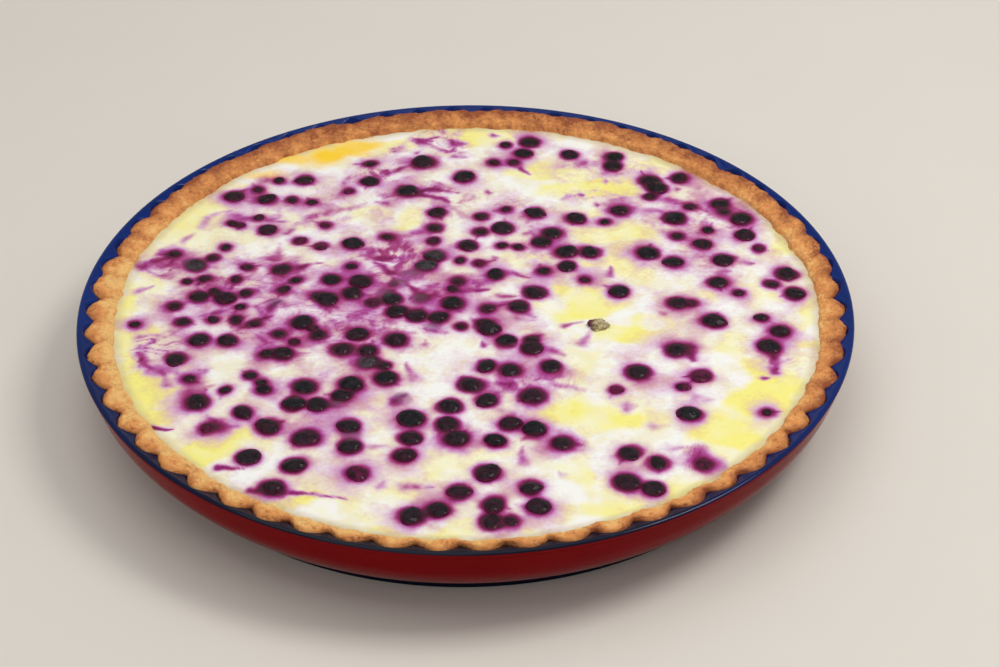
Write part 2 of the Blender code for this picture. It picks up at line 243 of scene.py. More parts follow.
# Streaks of juice: x, y, x, y, width, strength
STREAKS = (
    (-105, -72, -99, -73, 1.2, 0.9), (-60, -106, -50, -108, 1.3, 0.75), (-50, -108, -40, -111, 1, 0.6),
    (-82, -94, -73, -95, 1.4, 0.9), (-92, -61, -86, -70, 2.4, 0.45), (-84, -73, -78, -73, 4, 0.55),
    (-21, -105, -11, -105, 2, 0.55), (-32, -85, -26, -85, 2, 0.3), (107, -46, 107, -38, 2, 0.55),
    (102, -49, 104, -49, 1.3, 0.6), (66, -86, 72, -86, 2, 0.45), (54, -64, 58, -64, 2.2, 0.5),
    (63, -75, 67, -75, 2, 0.3), (-121, 25, -113, 31, 2.4, 0.65), (-120, 9, -116, 13, 1.8, 0.5),
    (-114, -27, -115, -35, 2, 0.5), (-115, -35, -109, -39, 1.8, 0.45), (-108, -40, -101, -41, 3.2, 0.4),
    (-81, -14, -71, -7, 2.4, 0.6), (-62, 23, -54, 27, 1.8, 0.6), (-95, -6, -86, -3, 2.6, 0.5),
    (-1, 7, 9, 7, 1.8, 0.6), (12, 3, 18, 3, 1.6, 0.5), (16, 18, 24, 15, 1.6, 0.55),
    (18, -12, 24, -12, 1.6, 0.3), (79, -31.5, 79.5, -38, 3.0, 0.8), (53, 15, 53, 23, 1.8, 0.55),
    (105, 23, 108, 23, 1.6, 0.5), (95, 17, 98, 17, 1.6, 0.45), (108, -35, 108, -44, 1.9, 0.8),
    (22, 95, 27, 90, 1.8, 0.6), (-18, 116, -10, 121, 2.2, 0.6), (-4, 116, 1, 116, 3, 0.5),
    (-29, 92, -21, 98, 2, 0.6), (-20, 79, -3, 76, 2, 0.7), (-18, 75, -6, 69, 1.8, 0.6),
    (10, 76, 11, 76, 1.5, 0.5), (57, 83, 58, 83, 1.6, 0.5), (47, 73, 48, 73, 1.6, 0.5),
    (52, 66, 53, 66, 1.6, 0.5), (62, 61, 76, 61, 4, 0.4), (-70, -106, -60, -109, 1.4, 0.6),
    (-96, -53, -88, -48, 2.4, 0.35), (14, -2, 24, -10, 2.2, 0.35), (26, -30, 34, -34, 2, 0.45),
    (36, -16, 41, -14, 1.4, 0.45), (30, -51, 40, -55, 1.8, 0.3), (-30, 44, -10, 49, 3, 0.45),
    (-60, 59, -40, 69, 2.6, 0.3), (-90, 61, -70, 57, 2.6, 0.4), (-80, 87, -60, 83, 2.4, 0.4),
    (80, 69, 95, 59, 2.6, 0.35), (48, 97, 60, 99, 4, 0.45), (-100, 59, -92, 65, 2, 0.35),
    (-108, 44, -104, 49, 1.8, 0.3), (86, 28, 96, 32, 2.6, 0.3), (-16, 6, -22, 12, 2.2, 0.75),
    (-74, -6, -68, 0, 2.2, 0.72), (-28, 20, -34, 26, 2.2, 0.71), (-35, 30, -26, 30, 2.2, 0.53),
    (-27, 11, -27, 16, 2.2, 0.64), (-17, 0, -11, 6, 2.2, 0.51), (-18, -46, -21, -38, 2.2, 0.49),
    (-24, -60, -20, -56, 2.2, 0.54), (14, -52, 9, -50, 2.2, 0.52), (41, -27, 44, -19, 2.2, 0.38),
    (18, -94, 18, -85, 2.2, 0.38), (-116, -20, -107, -20, 2.2, 0.38), (-103, -49, -106, -41, 2.2, 0.36),
    (-109, 19, -117, 22, 2.2, 0.34), (-71, 32, -71, 41, 2.2, 0.34), (-4, 103, 1, 103, 2.2, 0.41),
    (-30, 68, -35, 70, 2.2, 0.4), (12, 121, 14, 121, 2.2, 0.47), (-48, 85, -46, 90, 2.2, 0.38),
    (-6, 79, -12, 85, 1.4, 0.39), (78, -61, 83, -61, 2.2, 0.35), (-35, 34, -30, 34, 2.2, 0.34),
    (-8, -20, -16, -17, 1.4, 0.36), (-76, -3, -70, 3, 1.4, 0.34), (-101, 53, -99, 58, 2.2, 0.32),
    (-68, 48, -65, 56, 1.4, 0.34), (-11, 110, -17, 116, 1.4, 0.33), (44, -16, 44, -14, 1.4, 0.53),
    (6, -27, 5, -25, 1.4, 0.52), (-13, 10, -11, 11, 2.2, 0.37), (-70, -25, -76, -19, 1.4, 0.32),
    (-29, -104, -28, -102, 2.2, 0.33), (-15, -26, -15, -24, 1.4, 0.42), (84, 77, 86, 77, 1.4, 0.42),
    (-92, -40, -94, -39, 1.4, 0.41), (23, 45, 25, 47, 1.4, 0.4), (31, -101, 30, -99, 1.4, 0.38),
    (-20, 108, -18, 110, 1.4, 0.37), (11, 28, 10, 30, 1.4, 0.36), (71, -10, 69, -8, 1.4, 0.34),
)

# Broad hazes of juice: x, y, half width, half depth, strength
HAZES = (
    (-30, 30, 14, 10, 0.6), (-12, 12, 22, 9, 0.45), (-112, 28, 7, 10, 0.5), (-70, 28, 16, 8, 0.35),
    (-72, -12, 12, 6, 0.45), (-113, -30, 6, 9, 0.6), (22, -50, 16, 8, 0.4), (-34, 92, 14, 8, 0.45),
    (-12, 112, 12, 8, 0.6), (-20, 72, 16, 7, 0.4), (72, -90, 9, 7, 0.4), (52, 72, 10, 6, 0.25),
    (-80, 10, 30, 20, 0.3), (-40, -12, 30, 24, 0.3), (0, 62, 30, 10, 0.25), (95, 59, 24, 16, 0.25),
    (-60, 69, 30, 20, 0.2), (55, 97, 20, 10, 0.25), (-55, -62, 24, 18, 0.14), (10, -75, 24, 14, 0.14),
    (85, 23, 26, 18, 0.12), (107, -32, 10, 12, 0.2), (30, 38, 22, 12, 0.16),
)

# Yellow patches: x, y, half width, half depth, strength
YELLOW_PATCHES = (
    (-104, 62, 10, 14, 0.55), (-116, 36, 5, 12, 0.4), (-118, 14, 5, 10, 0.5), (-93, 82, 9, 6, 0.55),
    (-27, 53, 9, 7, 0.5), (-46, 60, 8, 5, 0.3),
    (-107, -53, 10, 13, 0.9), (-85, -83, 16, 7, 0.8), (-57, -115, 18, 5, 0.85), (42, -68, 16, 10, 0.8),
    (25, 33, 13, 7, 0.5), (43, 1, 16, 8, 0.75), (62, -18, 16, 7, 0.75), (100, 1, 14, 7, 0.6),
    (105, -53, 12, 14, 0.9), (88, -73, 18, 10, 0.8), (66, -111, 26, 8, 0.9), (32, -101, 9, 10, 0.55),
    (55, 49, 18, 12, 0.6), (55, 79, 22, 9, 0.75), (28, 96, 14, 8, 0.7), (6, 120, 22, 7, 0.7),
    (45, 91, 10, 5, 0.5), (78, 97, 16, 8, 0.6), (60, 26, 10, 12, 0.6), (-121, -12, 5, 22, 0.75),
    (-32, -63, 5, 12, 0.3), (-4, -91, 12, 5, 0.4), (-5, -125, 30, 4, 0.6), (37, -120, 12, 6, 0.6),
    (118, 38, 8, 12, 0.6), (122, -14, 4, 16, 0.6), (-100, 87, 10, 6, 0.45), (40, -42, 10, 10, 0.35),
    (-24, -103, 10, 5, 0.35), (17, 26, 6, 4, 0.3), (-30, 114, 14, 6, 0.5), (100, 83, 12, 8, 0.5),
    (92, -32, 9, 9, 0.45), (-118, -34, 6, 14, 0.6), (-108, 61, 8, 10, 0.3),
    (-84, 78, 16, 8, 0.3), (-92, 46, 16, 10, 0.28), (-112, 44, 8, 14, 0.4), (-70, 58, 14, 8, 0.22),
    (-88, -72, 16, 14, 0.25), (-45, -112, 20, 8, 0.3), (-18, -100, 16, 9, 0.22), (85, -90, 14, 9, 0.4),
    (112, -40, 7, 16, 0.35),
)
ORANGE_PATCHES = (
    (-55, 106, 9, 7.5, 1.0), (-49, 110, 9, 6, 0.95), (-42, 114, 8, 5, 0.9), (-68, 103, 8, 4, 0.8),
    (-80, 92, 7, 4, 0.65),
)

# Crumb of the pastry on the custard; its lumps' offset to the right and to the back, half width and height
CRUMB_SPOT = (47.3, -16.9)
CRUMB_COLUMNS = 22
CRUMB_ROWS = 11
CRUMB_LUMPS = (
    (0, 0, 2.6, 1.6), (-1.8, 1.1, 1.8, 1.2), (2, -0.4, 1.8, 1.2), (0.6, 2, 1.7, 1.1), (-0.9, -1.8, 1.6, 1),
)

# Stage
FLOOR_CELLS = 40
FLOOR_HALF_WIDTH = 1600
SKY_TINT = (0.93, 0.96, 1.0)
LIGHTS_AIM = (0, 0, 0.03)

# Camera, fitted to the rim: distance from the middle of the rim, and the turns that aim it
LENS_MM = 72
SENSOR_MM = 36
CAMERA_ELEVATION = math.radians(34.83)
CAMERA_DISTANCE = 728.2
CAMERA_TURNS = (("Y", math.radians(0.955)), ("X", math.radians(1.134)), ("Z", math.radians(0.746)))


def srgb(red, green, blue):
    """A colour given in 0 to 255, as linear values."""
    values = [channel / 255 for channel in (red, green, blue)]
    return tuple(v / 12.92 if v <= 0.04045 else ((v + 0.055) / 1.055) ** 2.4 for v in values)


def scaled(tint, amount):
    return tuple(amount * channel for channel in tint)


def colour(name, description, red, green, blue):
    tint = srgb(red, green, blue)
    return FloatVectorProperty(
        name=name, description=description, subtype="COLOR", size=3, min=0, max=1, default=tint
    )


def share(name, description, default):
    return FloatProperty(name=name, description=description, subtype="FACTOR", min=0, max=1, default=default)


def length(name, description, default):
    return FloatProperty(name=name, description=description, unit="LENGTH", min=0, default=default * METRES)


class DishLooks(bpy.types.PropertyGroup):
    blue: colour("Blue glaze", "Glaze of the inside and the lip", 14, 42, 112)
    red: colour("Red glaze", "Glaze of the outer wall", 128, 3, 9)
    # The navy glaze also serves as painted shade on the inside towards the front.
    navy: colour("Navy glaze", "Glaze of the foot band and the underside", 14, 17, 34)
    clay: colour("Bare clay", "Unglazed foot ring", 176, 150, 124)
    roughness: share("Glaze roughness", "How matte the glaze is", 0.1)


class PastryLooks(bpy.types.PropertyGroup):
    golden: colour("Golden", "Main colour of the baked pastry", 232, 153, 82)
    pale: colour("Pale", "Colour towards the custard, least baked", 246, 192, 114)
    brown: colour("Brown", "Colour of the most baked edges", 156, 78, 38)
    relief: length("Grain height", "Height of the pastry's grains", 0.32)


class CustardLooks(bpy.types.PropertyGroup):
    white: colour("White", "Main colour of the custard", 247, 244, 236)
    cream: colour("Cream", "Colour of its less white parts", 242, 234, 207)
    yellow: colour("Yellow", "Colour of the egg-rich patches", 248, 237, 130)
    orange: colour("Orange", "Colour of the patches at the back edge", 255, 207, 30)
    veil: colour("Veil", "Colour of a berry under a film of custard", 74, 62, 72)
    roughness: share("Custard roughness", "How matte the custard is", 0.34)


class BerryLooks(bpy.types.PropertyGroup):
    skin: colour("Skin", "Dark top of a berry", 7, 5, 9)
    bloom: colour("Bloom", "Grey-green bloom on the skin", 30, 31, 32)
    wine: colour("Wine", "Wet skin next to the custard", 98, 5, 54)
    film: colour("Film", "Custard film over some berries", 84, 78, 82)
    wrinkle: share("Wrinkles", "Depth of the skin's creases, as a share of the berry's size", 0.05)


class StageLooks(bpy.types.PropertyGroup):
    floor: colour("Floor", "Pale floor under the dish", 222, 214, 202)
    brightness: share("Brightness", "Strength of the soft light from all sides", 0.42)


class TartSettings(bpy.types.PropertyGroup):
    dish: PointerProperty(type=DishLooks)
    pastry: PointerProperty(type=PastryLooks)
    custard: PointerProperty(type=CustardLooks)
    berries: PointerProperty(type=BerryLooks)
    stage: PointerProperty(type=StageLooks)


class Wire:
    """An output of a material's nodes, so that shader maths is written as an expression."""

    def __init__(self, socket):
        self.socket = socket

    def maths(self, operation, *values, clamp=False):
        node = self.socket.id_data.nodes.new("ShaderNodeMath")
        node.operation = operation
        node.use_clamp = clamp
        for socket, value in zip(node.inputs, values):
            feed(socket, value)
        return Wire(node.outputs[0])

    def __add__(self, other):
        return self.maths("ADD", self, other)

    def __radd__(self, other):
        return self.maths("ADD", other, self)

    def __sub__(self, other):
        return self.maths("SUBTRACT", self, other)

    def __rsub__(self, other):
        return self.maths("SUBTRACT", other, self)

    def __mul__(self, other):
        return self.maths("MULTIPLY", self, other)

    def __rmul__(self, other):
        return self.maths("MULTIPLY", other, self)

    def __pow__(self, other):
        return self.maths("POWER", self, other)

    def clamped(self):
        return self.maths("ADD", self, 0, clamp=True)


def feed(socket, value):
    """Links a wire to a socket, or sets the socket's own value."""
    if isinstance(value, Wire):
        socket.id_data.links.new(value.socket, socket)
    elif socket.type == "RGBA":
        socket.default_value = (*value, 1)
    else:
        socket.default_value = value


def socket_name(word):
    return word.replace("_", " ").title().replace("Ior", "IOR")


class Finish:
    """A material, and the nodes that give its surface."""

    def __init__(self, name, **constants):
        self.material = bpy.data.materials.new(name)
        self.material.use_nodes = True
        self.nodes = self.material.node_tree.nodes
        self.shader = self.nodes["Principled BSDF"]
        for socket, value in constants.items():
            feed(self.shader.inputs[socket_name(socket)], value)
        self.place = self.node("TexCoord", output="Object")

    def node(self, kind, settings=None, inputs=None, output=0):
        made = self.nodes.new("ShaderNode" + kind)
        for name, value in (settings or {}).items():
            if name == "stops":
                self.set_stops(made.color_ramp, value)
            else:
                setattr(made, name, value)
        for name, value in (inputs or {}).items():
            feed(made.inputs[name], value)
        return Wire(made.outputs[output])

    def set_stops(self, ramp, stops):
        while len(ramp.elements) < len(stops):
            ramp.elements.new(0.5)
        for element, (position, tint) in zip(ramp.elements, stops):
            element.position = position
            element.color = (*tint, 1)

    def coordinate(self, axis):
        """Where a point is along the x, y or z axis, in millimetres."""
        return self.node("SeparateXYZ", inputs={"Vector": self.place}, output=axis) * (1 / METRES)

    def attribute(self, name):
        return self.node("Attribute", {"attribute_name": name}, output="Fac")

    def speckle(self, size_mm, detail=3.0, roughness=0.55, distortion=0.0):
        """Noise from 0 to 1, in lumps of about that size."""
        inputs = {"Vector": self.place, "Scale": 1 / (size_mm * METRES), "Detail": detail}
        inputs.update({"Roughness": roughness, "Distortion": distortion})
        return self.node("TexNoise", inputs=inputs, output=0)

    def step(self, value, low, high):
        """0 below low, 1 above high, and smooth between them."""
        settings = {"interpolation_type": "SMOOTHSTEP"}
        return self.node("MapRange", settings, {"Value": value, "From Min": low, "From Max": high})

    def mix(self, factor, first, second, blend="MIX"):
        settings = {"data_type": "RGBA", "blend_type": blend}
        return self.node("Mix", settings, {0: factor, 6: first, 7: second}, output=2)

    def ramp(self, factor, stops):
        return self.node("ValToRGB", {"stops": stops}, {"Fac": factor})

    def bump(self, height, depth_mm, below=None):
        inputs = {"Height": height, "Distance": depth_mm * METRES}
        if below is not None:
            inputs["Normal"] = below
        return self.node("Bump", inputs=inputs)

    def paint(self, **values):
        for socket, value in values.items():
            feed(self.shader.inputs[socket_name(socket)], value)
        return self.material


def lerp(start, end, amount):
    return start + (end - start) * amount


def smoothstep(low, high, value):
    amount = np.clip((value - low) / (high - low), 0, 1)
    return amount * amount * (3 - 2 * amount)


def rough_field(points, size, seed, octaves=1):
    """Smooth noise at each point, in lumps of about that size."""
    shift = Vector((13.7 * seed, 7.3 * seed, 3.1 * seed))
    return np.array([noise.fractal(Vector(point) / size + shift, 1.0, 2.0, octaves) for point in points])


def grain_field(points, size, seed):
    """Rounded grains, 1 at a grain's middle and about 0 between grains."""
    shift = Vector((13.7 * seed, 7.3 * seed, 3.1 * seed))
    near = np.array([noise.voronoi(Vector(point) / size + shift)[0][0] for point in points])
    return np.clip(1 - (near / 0.7) ** 2, 0, 1)


def smooth_curve(points, steps):
    """A smooth line through all the points, with a number of steps between each pair."""
    points = np.array([points[0], *points, points[-1]], float)
    curve = []
    for before, start, end, after in zip(points, points[1:], points[2:], points[3:]):
        for i in range(steps):
            t = i / steps
            square = (2 * before - 5 * start + 4 * end - after) * t * t
            cube = (3 * start - before - 3 * end + after) * t ** 3
            curve.append((2 * start + (end - before) * t + (square + cube)) / 2)
    return np.array(curve + [points[-1]])


def new_piece(name, points, faces, nodes, materials):
    """A smooth mesh from points in millimetres, riding on the model and standing for its nodes."""
    mesh = bpy.data.meshes.new(name)
    mesh.from_pydata((np.asarray(points) * METRES).tolist(), [], faces)
    for material in materials:
        mesh.materials.append(material)
    mesh.shade_smooth()
    piece = bpy.data.objects.new(name, mesh)
    bpy.context.scene.collection.objects.link(piece)
    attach(piece, "root")
    if nodes:
        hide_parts(*nodes)
    return piece


def store(piece, name, values):
    """Keeps a value for each point of the mesh, which its material reads."""
    attribute = piece.data.attributes.new(name, "FLOAT", "POINT")
    attribute.data.foreach_set("value", np.asarray(values, np.float32))


def ring_faces(columns, rows, start=0, closed=True):
    """Faces between columns of points round an axis, with a fan to a pole at each end.

    Points are ordered column by column, and the two poles follow them.
    """
    top = start + columns * rows
    bottom = top + 1
    faces = []
    for column in range(columns):
        here = start + column * rows
        there = start + (column + 1) % columns * rows
        faces.append((top, here, there))
        faces.append((bottom, there + rows - 1, here + rows - 1))
        for row in range(rows - 1):
            faces.append((here + row, here + row + 1, there + row + 1, there + row))
    return faces


def by_row(values, columns):
    """A value for each row of a loft, at each of its points and 0 at its two poles."""
    return np.append(np.tile(values, columns), (0, 0))


def by_column(values, rows):
    """A value for each column of a loft, at each of its points and 0 at its two poles."""
    return np.append(np.repeat(values, rows), (0, 0))


def lofted_points(angles, radii, heights, top, bottom):
    """Points of a loft: radii and heights hold a row of section points for each angle."""
    x = radii * np.cos(angles)[:, None]
    y = radii * np.sin(angles)[:, None]
    body = np.stack([x, y, heights], axis=-1).reshape(-1, 3)
    return np.vstack([body, [(0, 0, top), (0, 0, bottom)]])


def ridge_share(angle):
    """0 at the middle of a flute's groove, 1 on the softened ridge between two grooves."""
    pitch = 2 * math.pi / FLUTES
    total = 0
    for nudge in (-RIDGE_SOFTNESS, 0, RIDGE_SOFTNESS):
        turned = angle - FLUTE_PHASE + nudge * pitch / 2
        from_groove = (turned + pitch / 2) % pitch - pitch / 2
        total = total + np.abs(2 * from_groove / pitch) ** FLUTE_ROUNDNESS
    return total / 3


def groove_radius(height):
    low_rise = (height - DISH_FLOOR) / (GROOVE_WAIST_HEIGHT - DISH_FLOOR)
    high_rise = (height - GROOVE_WAIST_HEIGHT) / (RIM_HEIGHT - GROOVE_WAIST_HEIGHT)
    low = lerp(FLOOR_RADIUS, GROOVE_WAIST_RADIUS, low_rise)
    high = lerp(GROOVE_WAIST_RADIUS, GROOVE_RADIUS, high_rise)
    return np.minimum(low, high)


def fluted_radius(angle, height):
    depth = lerp(RIDGE_DEPTH_FLOOR, RIDGE_DEPTH_TOP, (height - DISH_FLOOR) / (RIM_HEIGHT - DISH_FLOOR))
    return groove_radius(height) - depth * ridge_share(angle)


def wander(angle, cycles, seed):
    """A smooth closed wave round the dish, between about -1 and 1."""
    return np.array([noise.noise(Vector((cycles * math.cos(a), cycles * math.sin(a), seed))) for a in angle])


def pastry_top(angle):
    return PASTRY_TOP - PASTRY_TILT * np.sin(angle)


def inner_edge(angle):
    thinning = FRONT_THINNING * np.clip(-np.sin(angle), 0, None) ** 2
    return INNER_EDGE + thinning + SIDE_OFFSET * np.cos(angle) + EDGE_WANDER * wander(angle, 3, 1.5)


def custard_level(x, y):
    return CUSTARD_LEVEL - CUSTARD_TILT * y / INNER_EDGE


def custard_edge(angle):
    """Where the custard meets the pastry's inner wall."""
    level = CUSTARD_LEVEL - CUSTARD_TILT * np.sin(angle)
    rise = (level - KNEE_HEIGHT) / (pastry_top(angle) - INNER_DROP - KNEE_HEIGHT)
    edge = inner_edge(angle)
    return lerp(edge - KNEE_INSET, edge + INNER_ROLL, rise)


def every_angle(columns):
    return np.arange(columns) * 2 * math.pi / columns


def outer_section():
    """The foot, the wall and the lip, the same at every angle."""
    wall = [tuple(point) for point in smooth_curve(WALL_CURVE, WALL_STEPS)]
    return [(FOOT_INSIDE_RADIUS, UNDERSIDE_HEIGHT), *FOOT_CURVE[:0:-1], *wall[:-1], *LIP_CURVE]


def dish_section(angle):
    """The dish's outline at one angle, from the foot out, up, over the lip and down to the floor."""
    ridge = float(ridge_share(np.array(angle)))
    corner = lerp(GROOVE_CORNER, RIDGE_CORNER, ridge)
    inner_top = float(fluted_radius(angle, RIM_HEIGHT)) + corner
    slump = RIDGE_SLUMP * ridge
    rim = []
    for i in range(1, LIP_STEPS):
        across = i / LIP_STEPS
        rim.append((lerp(LIP_FLAT_RADIUS, inner_top, across), RIM_HEIGHT - slump * across ** 2))
    for i in range(CORNER_STEPS + 1):
        bend = i / CORNER_STEPS * math.pi / 2
        height = RIM_HEIGHT - slump - corner * (1 - math.cos(bend))
        rim.append((float(fluted_radius(angle, height)) + corner * (1 - math.sin(bend)), height))
    inside = [(float(fluted_radius(angle, height)), height) for height in INSIDE_HEIGHTS]
    floor_edge = (float(fluted_radius(angle, DISH_FLOOR)) - 1, DISH_FLOOR)
    return outer_section() + rim + inside + [floor_edge]


def make_dish(looks):
    columns = FLUTES * DISH_COLUMNS_PER_FLUTE
    angles = every_angle(columns) + FLUTE_PHASE
    one_flute = [dish_section(angle) for angle in angles[:DISH_COLUMNS_PER_FLUTE]]
    section = np.tile(np.array(one_flute), (FLUTES, 1, 1))[:, ::-1]
    points = lofted_points(angles, section[..., 0], section[..., 1], DISH_FLOOR, UNDERSIDE_HEIGHT)
    rows = section.shape[1]
    finishes = [blue_finish(looks), red_finish(looks)]
    piece = new_piece("glazed_dish", points, ring_faces(columns, rows), ["dish"], finishes)
    outer_rows = len(outer_section()) - len(LIP_CURVE) + RED_LIP_POINTS
    for face in piece.data.polygons:
        lowest = min(corner % rows if corner < columns * rows else 0 for corner in face.vertices)
        if columns * rows + 1 in face.vertices or lowest >= rows - outer_rows:
            face.material_index = 1


def blue_finish(looks):
    """Blue glaze, with painted shade that turns it navy towards the front of the dish, least on the right."""
    finish = Finish("blue_glaze", coat_weight=0.1, coat_roughness=0.05, specular_ior_level=0.1)
    pooled = finish.speckle(26, detail=4)
    # Painted shade: the inside's glaze is mixed to navy towards the front, less so on the right side.
    sideways = finish.coordinate("X")
    across = finish.coordinate("Y") + sideways.maths("MAXIMUM", sideways, 0) * 0.45
    base = finish.mix(pooled, scaled(looks.blue, 0.7), looks.blue)
    base = finish.mix(finish.step(across + pooled * 30, SHADED_NAVY_UP_TO, UNSHADED_BLUE_FROM), looks.navy, base)
    ripple = finish.bump(finish.speckle(7, detail=2), 0.12)
    return finish.paint(base_color=base, roughness=finish.speckle(14) * 0.08 + looks.roughness, normal=ripple)


def red_finish(looks):
    """Red wall, with the navy foot band below it, a painted highlight line along the band's top, and bare
    clay where the foot stands.
    """
    finish = Finish("red_glaze", specular_ior_level=0.12, ior=1.2)
    height = finish.coordinate("Z")
    wavy = height + finish.speckle(9) * 0.4 - 0.2
    pooled = finish.speckle(26, detail=4)
    red = finish.mix(pooled, scaled(looks.red, 0.72), looks.red)
    base = finish.mix(finish.step(wavy, FOOT_BAND_TOP, FOOT_BAND_TOP + 0.25), looks.navy, red)
    # Painted highlight: a thin pale line along the top of the navy foot band.
    painted_highlight = finish.step(wavy, FOOT_BAND_TOP, FOOT_BAND_TOP + 0.3)
    painted_highlight = painted_highlight * (1 - finish.step(wavy, FOOT_BAND_TOP + 0.4, FOOT_BAND_TOP + 0.9))
    base = finish.mix(painted_highlight * 0.3, base, srgb(150, 110, 112))
    bare = (1 - finish.step(height, -0.1, 0.2)) * finish.step(finish.speckle(3), 0.3, 0.6)
    base = finish.mix(bare, base, looks.clay)
    ripple = finish.bump(finish.speckle(8, detail=2), 0.1)
    return finish.paint(base_color=base, roughness=finish.speckle(14) * 0.1 + looks.roughness, normal=ripple)


def outer_edge(angles, height):
    """Radius of the pastry's outer edge, and how much it fills the flutes and spills over the ridges."""
    valley = ridge_share(angles)
    away_from_front = 0.5 + 0.5 * np.cos(angles - FULLEST_ANGLE)
    unevenness = (0.4 + 0.8 * away_from_front) * wander(angles, 9, 21.5)
    fill = np.clip(unevenness + 1.5 * away_from_front ** 1.6 - 0.1, 0, 1)
    spill = fill * valley ** 0.7
    shortfall = np.clip(1.7 * wander(angles, 17, 8.5), 0, 1) * (1 - valley)
    edge = fluted_radius(angles, height) - PASTRY_GAP
    edge = edge + PASTRY_SPILL * spill - PASTRY_SHORTFALL * shortfall
    edge = edge + fill * (1.1 * wander(angles, 10, 31.5) + 0.8 * wander(angles, 31, 33.5) + 0.2)
    return edge + FRONT_REACH * (1 - away_from_front) * (1 - valley), fill, spill


def pastry_section(angles):
    """Radii and heights of the pastry at each angle, from the floor up its inner side and down the outer."""
    top = pastry_top(angles)
    valley = ridge_share(angles)
    lump = wander(angles, 11, 3.5)
    edge, fill, spill = outer_edge(angles, top - PASTRY_EDGE_DROP)
    inner = inner_edge(angles) + 0.9 * wander(angles, 22, 5.5) + 0.5 * wander(angles, 45, 6.5)
    radii = [np.full_like(angles, PASTRY_FLOOR_RADIUS), lerp(PASTRY_FLOOR_RADIUS, inner - KNEE_INSET, 0.6)]
    heights = [np.full_like(angles, PASTRY_FLOOR), np.full_like(angles, lerp(PASTRY_FLOOR, KNEE_HEIGHT, 0.6))]
    for i in range(PASTRY_INNER_ROWS):
        rise = i / PASTRY_INNER_ROWS
        radii.append(lerp(inner - KNEE_INSET, inner + INNER_ROLL, rise ** 1.5))
        heights.append(lerp(KNEE_HEIGHT, top - INNER_DROP - 0.4, rise))
    for i in range(PASTRY_TOP_ROWS + 1):
        across = i / PASTRY_TOP_ROWS
        radii.append(lerp(inner + INNER_ROLL, edge, across ** 0.92))
        roll_in = INNER_DROP * np.clip(1 - across / 0.3, 0, 1) ** 2
        roll_out = (PASTRY_EDGE_DROP - 0.4 * fill) * np.clip((across - 0.55) / 0.45, 0, 1) ** 2.4
        crease = lerp(0.1, 1.0, across) * valley ** 2 * np.clip(1.35 - across, 0, 1) * (1 - 0.9 * fill)
        bulge = 0.3 * math.sin(math.pi * across) * ((1 - valley) * (1 - fill) + 0.8 * lump)
        over_ridge = (1.25 * fill + 0.75 * spill) * float(smoothstep(0.25, 0.8, across))
        heights.append(top - roll_in - roll_out - crease + bulge + over_ridge)
    for height in PASTRY_SIDE_HEIGHTS:
        radii.append(fluted_radius(angles, height) - PASTRY_GAP)
        heights.append(np.full_like(angles, height))
    radii.append(fluted_radius(angles, DISH_FLOOR) - 2 * PASTRY_GAP)
    heights.append(np.full_like(angles, DISH_FLOOR + PASTRY_GAP))
    return np.stack(radii, axis=1), np.stack(heights, axis=1)


def where_seen(seen, values):
    """Values at the seen points, and 0 at the others."""
    spread = np.zeros(len(seen))
    spread[seen] = values
    return spread


def push_out(points, push, across):
    """Moves the pastry's points by a push, which turns from upwards to outwards at its outer edge."""
    outward = np.clip((across - 0.6) / 0.4, 0, 1)
    direction = np.stack([points[:, 0], points[:, 1], np.zeros(len(points))], axis=1)
    size = np.linalg.norm(direction, axis=1)
    direction = direction / np.where(size > 0, size, 1)[:, None]
    sideways = direction * (push * (outward * 0.8 - 0.25 * (1 - across)))[:, None]
    return points + sideways + np.stack([0 * push, 0 * push, push * (1 - 0.7 * outward)], axis=1)


def make_pastry(looks):
    columns = FLUTES * PASTRY_COLUMNS_PER_FLUTE
    angles = every_angle(columns) + FLUTE_PHASE
    radii, heights = pastry_section(angles)
    rows = radii.shape[1]
    points = lofted_points(angles, radii, heights, PASTRY_FLOOR, DISH_FLOOR + PASTRY_GAP)
    row = np.arange(rows)
    across = by_row(np.clip((row - FIRST_TOP_ROW) / PASTRY_TOP_ROWS, 0, 1), columns)
    shown = np.clip((row - FIRST_TOP_ROW + 4) / 3, 0, 1) * np.clip((LAST_TOP_ROW + 5 - row) / 3, 0, 1)
    shown = by_row(shown, columns)
    valley = by_column(ridge_share(angles), rows)
    at_back = np.clip(by_column(np.sin(angles), rows) * 0.5 + 0.5, 0, 1)
    seen = shown > 0
    spots = points[seen]
    grains = grain_field(spots, GRAIN_SIZE, 1) + 0.6 * grain_field(spots, FINE_GRAIN_SIZE, 2)
    grains = where_seen(seen, grains)
    lumps = where_seen(seen, rough_field(spots, LUMP_SIZE, 3, 2))
    from_crack = np.abs(rough_field(spots, CRACK_SPACING, 5, 2)) / CRACK_WIDTH
    cracks = where_seen(seen, np.clip(1 - from_crack, 0, 1))
    crack_depth = CRACK_DEPTH * cracks * across * (0.4 + 0.6 * at_back) * shown
    push = shown * (looks.relief / METRES * (grains - MEAN_GRAIN) + LUMP_HEIGHT * lumps) - crack_depth
    points = push_out(points, push, across)
    faces = ring_faces(columns, rows)
    piece = new_piece("baked_pastry", points, faces, ["crust"], [pastry_finish(looks)])
    degrees, bakes = zip(*BAKED_AT)
    bake = np.interp(np.degrees(by_column(angles, rows)), degrees, bakes, period=360)
    baked = 0.22 + 0.5 * across ** 2 + bake + 0.25 * valley * across
    baked = baked + 0.35 * lumps - 0.2 * grains * (1 - across) + 0.45 * cracks * across
    store(piece, "baked", np.clip(baked, 0, 1))
    # Painted shade in the flutes' valleys, in the cracks and between the grains.
    shelter = np.clip(valley * 0.5 + 0.8 * cracks + 0.5 * (MEAN_GRAIN - grains), 0, 1)
    store(piece, "shelter", shelter * shown)


